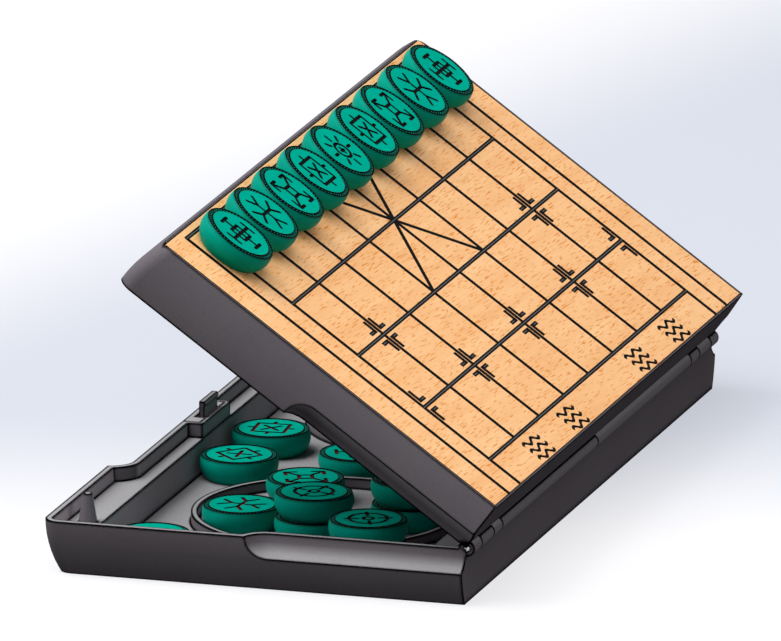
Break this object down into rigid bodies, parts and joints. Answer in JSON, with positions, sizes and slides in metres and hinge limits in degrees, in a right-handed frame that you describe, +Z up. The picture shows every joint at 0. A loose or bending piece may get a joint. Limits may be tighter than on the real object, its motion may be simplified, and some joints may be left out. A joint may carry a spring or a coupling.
{
  "type": "folding xiangqi box",
  "caption": "Folding xiangqi box: two hinged trays with half of the board on each outer face, magnetic round pieces, finger grooves and a sprung latch.",
  "frame": {"origin": "centre of the base's underside, on the surface the box stands on", "axes": "+X along the hinge, +Y from the latch to the hinge, +Z up"},
  "size_m": [0.26, 0.1352, 0.1042],
  "materials": {
    "shell_plastic": "fine satin moulding texture",
    "board_wood": "sanded beech veneer",
    "black_ink": "matt",
    "red_ink": "matt",
    "steel_sheet": "rolled sheet",
    "pin_steel": "drawn wire",
    "spring_steel": "drawn wire",
    "latch_plastic": "fine satin moulding texture",
    "piece_plastic": "semi-gloss moulding"
  },
  "bodies": {
    "base": {"base_shell": "shell_plastic", "base_board": "board_wood", "base_grid": "black_ink", "base_steel_sheet": "steel_sheet", "hinge_pin_near": "pin_steel", "hinge_pin_far": "pin_steel", "latch_housing": "latch_plastic", "latch_pin": "pin_steel", "latch_spring": "spring_steel"},
    "latch": {"latch_lever": "latch_plastic"},
    "lid": {"lid_shell": "shell_plastic", "lid_board": "board_wood", "lid_grid": "black_ink", "lid_steel_sheet": "steel_sheet"},
    "black_chariot_1": {"black_chariot_1": "piece_plastic"},
    "black_horse_1": {"black_horse_1": "piece_plastic"},
    "black_elephant_1": {"black_elephant_1": "piece_plastic"},
    "black_advisor_1": {"black_advisor_1": "piece_plastic"},
    "black_general": {"black_general": "piece_plastic"},
    "black_advisor_2": {"black_advisor_2": "piece_plastic"},
    "black_elephant_2": {"black_elephant_2": "piece_plastic"},
    "black_horse_2": {"black_horse_2": "piece_plastic"},
    "black_chariot_2": {"black_chariot_2": "piece_plastic"},
    "red_advisor_1": {"red_advisor_1": "piece_plastic"},
    "red_advisor_2": {"red_advisor_2": "piece_plastic"},
    "red_horse_1": {"red_horse_1": "piece_plastic"},
    "red_soldier_1": {"red_soldier_1": "piece_plastic"},
    "black_cannon_1": {"black_cannon_1": "piece_plastic"},
    "red_elephant_1": {"red_elephant_1": "piece_plastic"},
    "red_soldier_2": {"red_soldier_2": "piece_plastic"},
    "black_cannon_2": {"black_cannon_2": "piece_plastic"},
    "red_chariot_1": {"red_chariot_1": "piece_plastic"},
    "black_soldier_1": {"black_soldier_1": "piece_plastic"},
    "red_general": {"red_general": "piece_plastic"},
    "red_soldier_3": {"red_soldier_3": "piece_plastic"},
    "black_soldier_4": {"black_soldier_4": "piece_plastic"},
    "black_soldier_5": {"black_soldier_5": "piece_plastic"},
    "red_soldier_5": {"red_soldier_5": "piece_plastic"},
    "red_cannon_1": {"red_cannon_1": "piece_plastic"},
    "black_soldier_2": {"black_soldier_2": "piece_plastic"},
    "red_cannon_2": {"red_cannon_2": "piece_plastic"},
    "red_chariot_2": {"red_chariot_2": "piece_plastic"},
    "red_horse_2": {"red_horse_2": "piece_plastic"},
    "red_elephant_2": {"red_elephant_2": "piece_plastic"},
    "black_soldier_3": {"black_soldier_3": "piece_plastic"},
    "red_soldier_4": {"red_soldier_4": "piece_plastic"}
  },
  "joints": [
    {"name": "lid_hinge", "type": "hinge", "parent": "base", "child": "lid", "pos_m": [0, 0.063, 0.0162], "axis": [-1, 0, 0], "range_deg": [-35.2, 144.8]},
    {"name": "latch_press", "type": "hinge", "parent": "base", "child": "latch", "pos_m": [0, -0.0534, 0.0134], "axis": [1, 0, 0], "range_deg": [0, 6], "stiffness_Nm_per_rad": 0.05, "springref_deg": -11.46},
    {"name": "black_chariot_1_lift", "type": "slide", "parent": "lid", "child": "black_chariot_1", "axis": [0, 0.5764, 0.8171], "range_m": [0, 0.012]},
    {"name": "black_horse_1_lift", "type": "slide", "parent": "lid", "child": "black_horse_1", "axis": [0, 0.5764, 0.8171], "range_m": [0, 0.012]},
    {"name": "black_elephant_1_lift", "type": "slide", "parent": "lid", "child": "black_elephant_1", "axis": [0, 0.5764, 0.8171], "range_m": [0, 0.012]},
    {"name": "black_advisor_1_lift", "type": "slide", "parent": "lid", "child": "black_advisor_1", "axis": [0, 0.5764, 0.8171], "range_m": [0, 0.012]},
    {"name": "black_general_lift", "type": "slide", "parent": "lid", "child": "black_general", "axis": [0, 0.5764, 0.8171], "range_m": [0, 0.012]},
    {"name": "black_advisor_2_lift", "type": "slide", "parent": "lid", "child": "black_advisor_2", "axis": [0, 0.5764, 0.8171], "range_m": [0, 0.012]},
    {"name": "black_elephant_2_lift", "type": "slide", "parent": "lid", "child": "black_elephant_2", "axis": [0, 0.5764, 0.8171], "range_m": [0, 0.012]},
    {"name": "black_horse_2_lift", "type": "slide", "parent": "lid", "child": "black_horse_2", "axis": [0, 0.5764, 0.8171], "range_m": [0, 0.012]},
    {"name": "black_chariot_2_lift", "type": "slide", "parent": "lid", "child": "black_chariot_2", "axis": [0, 0.5764, 0.8171], "range_m": [0, 0.012]},
    {"name": "red_advisor_1_lift", "type": "slide", "parent": "base", "child": "red_advisor_1", "axis": [0, 0, 1], "range_m": [0, 0.02]},
    {"name": "red_advisor_2_lift", "type": "slide", "parent": "base", "child": "red_advisor_2", "axis": [0, 0, 1], "range_m": [0, 0.02]},
    {"name": "red_horse_1_lift", "type": "slide", "parent": "base", "child": "red_horse_1", "axis": [0, 0, 1], "range_m": [0, 0.02]},
    {"name": "red_soldier_1_lift", "type": "slide", "parent": "base", "child": "red_soldier_1", "axis": [0, 0, 1], "range_m": [0, 0.02]},
    {"name": "black_cannon_1_lift", "type": "slide", "parent": "red_soldier_1", "child": "black_cannon_1", "axis": [0, 0, 1], "range_m": [0, 0.02]},
    {"name": "red_elephant_1_lift", "type": "slide", "parent": "base", "child": "red_elephant_1", "axis": [0, 0, 1], "range_m": [0, 0.02]},
    {"name": "red_soldier_2_lift", "type": "slide", "parent": "base", "child": "red_soldier_2", "axis": [0, 0, 1], "range_m": [0, 0.02]},
    {"name": "black_cannon_2_lift", "type": "slide", "parent": "red_soldier_2", "child": "black_cannon_2", "axis": [0, 0, 1], "range_m": [0, 0.02]},
    {"name": "red_chariot_1_lift", "type": "slide", "parent": "base", "child": "red_chariot_1", "axis": [0, 0, 1], "range_m": [0, 0.02]},
    {"name": "black_soldier_1_lift", "type": "slide", "parent": "base", "child": "black_soldier_1", "axis": [0, 0, 1], "range_m": [0, 0.02]},
    {"name": "red_general_lift", "type": "slide", "parent": "black_soldier_1", "child": "red_general", "axis": [0, 0, 1], "range_m": [0, 0.02]},
    {"name": "red_soldier_3_lift", "type": "slide", "parent": "base", "child": "red_soldier_3", "axis": [0, 0, 1], "range_m": [0, 0.02]},
    {"name": "black_soldier_4_lift", "type": "slide", "parent": "base", "child": "black_soldier_4", "axis": [0, 0, 1], "range_m": [0, 0.02]},
    {"name": "black_soldier_5_lift", "type": "slide", "parent": "base", "child": "black_soldier_5", "axis": [0, 0, 1], "range_m": [0, 0.02]},
    {"name": "red_soldier_5_lift", "type": "slide", "parent": "base", "child": "red_soldier_5", "axis": [0, 0, 1], "range_m": [0, 0.02]},
    {"name": "red_cannon_1_lift", "type": "slide", "parent": "base", "child": "red_cannon_1", "axis": [0, 0, 1], "range_m": [0, 0.02]},
    {"name": "black_soldier_2_lift", "type": "slide", "parent": "red_cannon_1", "child": "black_soldier_2", "axis": [0, 0, 1], "range_m": [0, 0.02]},
    {"name": "red_cannon_2_lift", "type": "slide", "parent": "base", "child": "red_cannon_2", "axis": [0, 0, 1], "range_m": [0, 0.02]},
    {"name": "red_chariot_2_lift", "type": "slide", "parent": "base", "child": "red_chariot_2", "axis": [0, 0, 1], "range_m": [0, 0.02]},
    {"name": "red_horse_2_lift", "type": "slide", "parent": "base", "child": "red_horse_2", "axis": [0, 0, 1], "range_m": [0, 0.02]},
    {"name": "red_elephant_2_lift", "type": "slide", "parent": "base", "child": "red_elephant_2", "axis": [0, 0, 1], "range_m": [0, 0.02]},
    {"name": "black_soldier_3_lift", "type": "slide", "parent": "base", "child": "black_soldier_3", "axis": [0, 0, 1], "range_m": [0, 0.02]},
    {"name": "red_soldier_4_lift", "type": "slide", "parent": "base", "child": "red_soldier_4", "axis": [0, 0, 1], "range_m": [0, 0.02]}
  ]
}
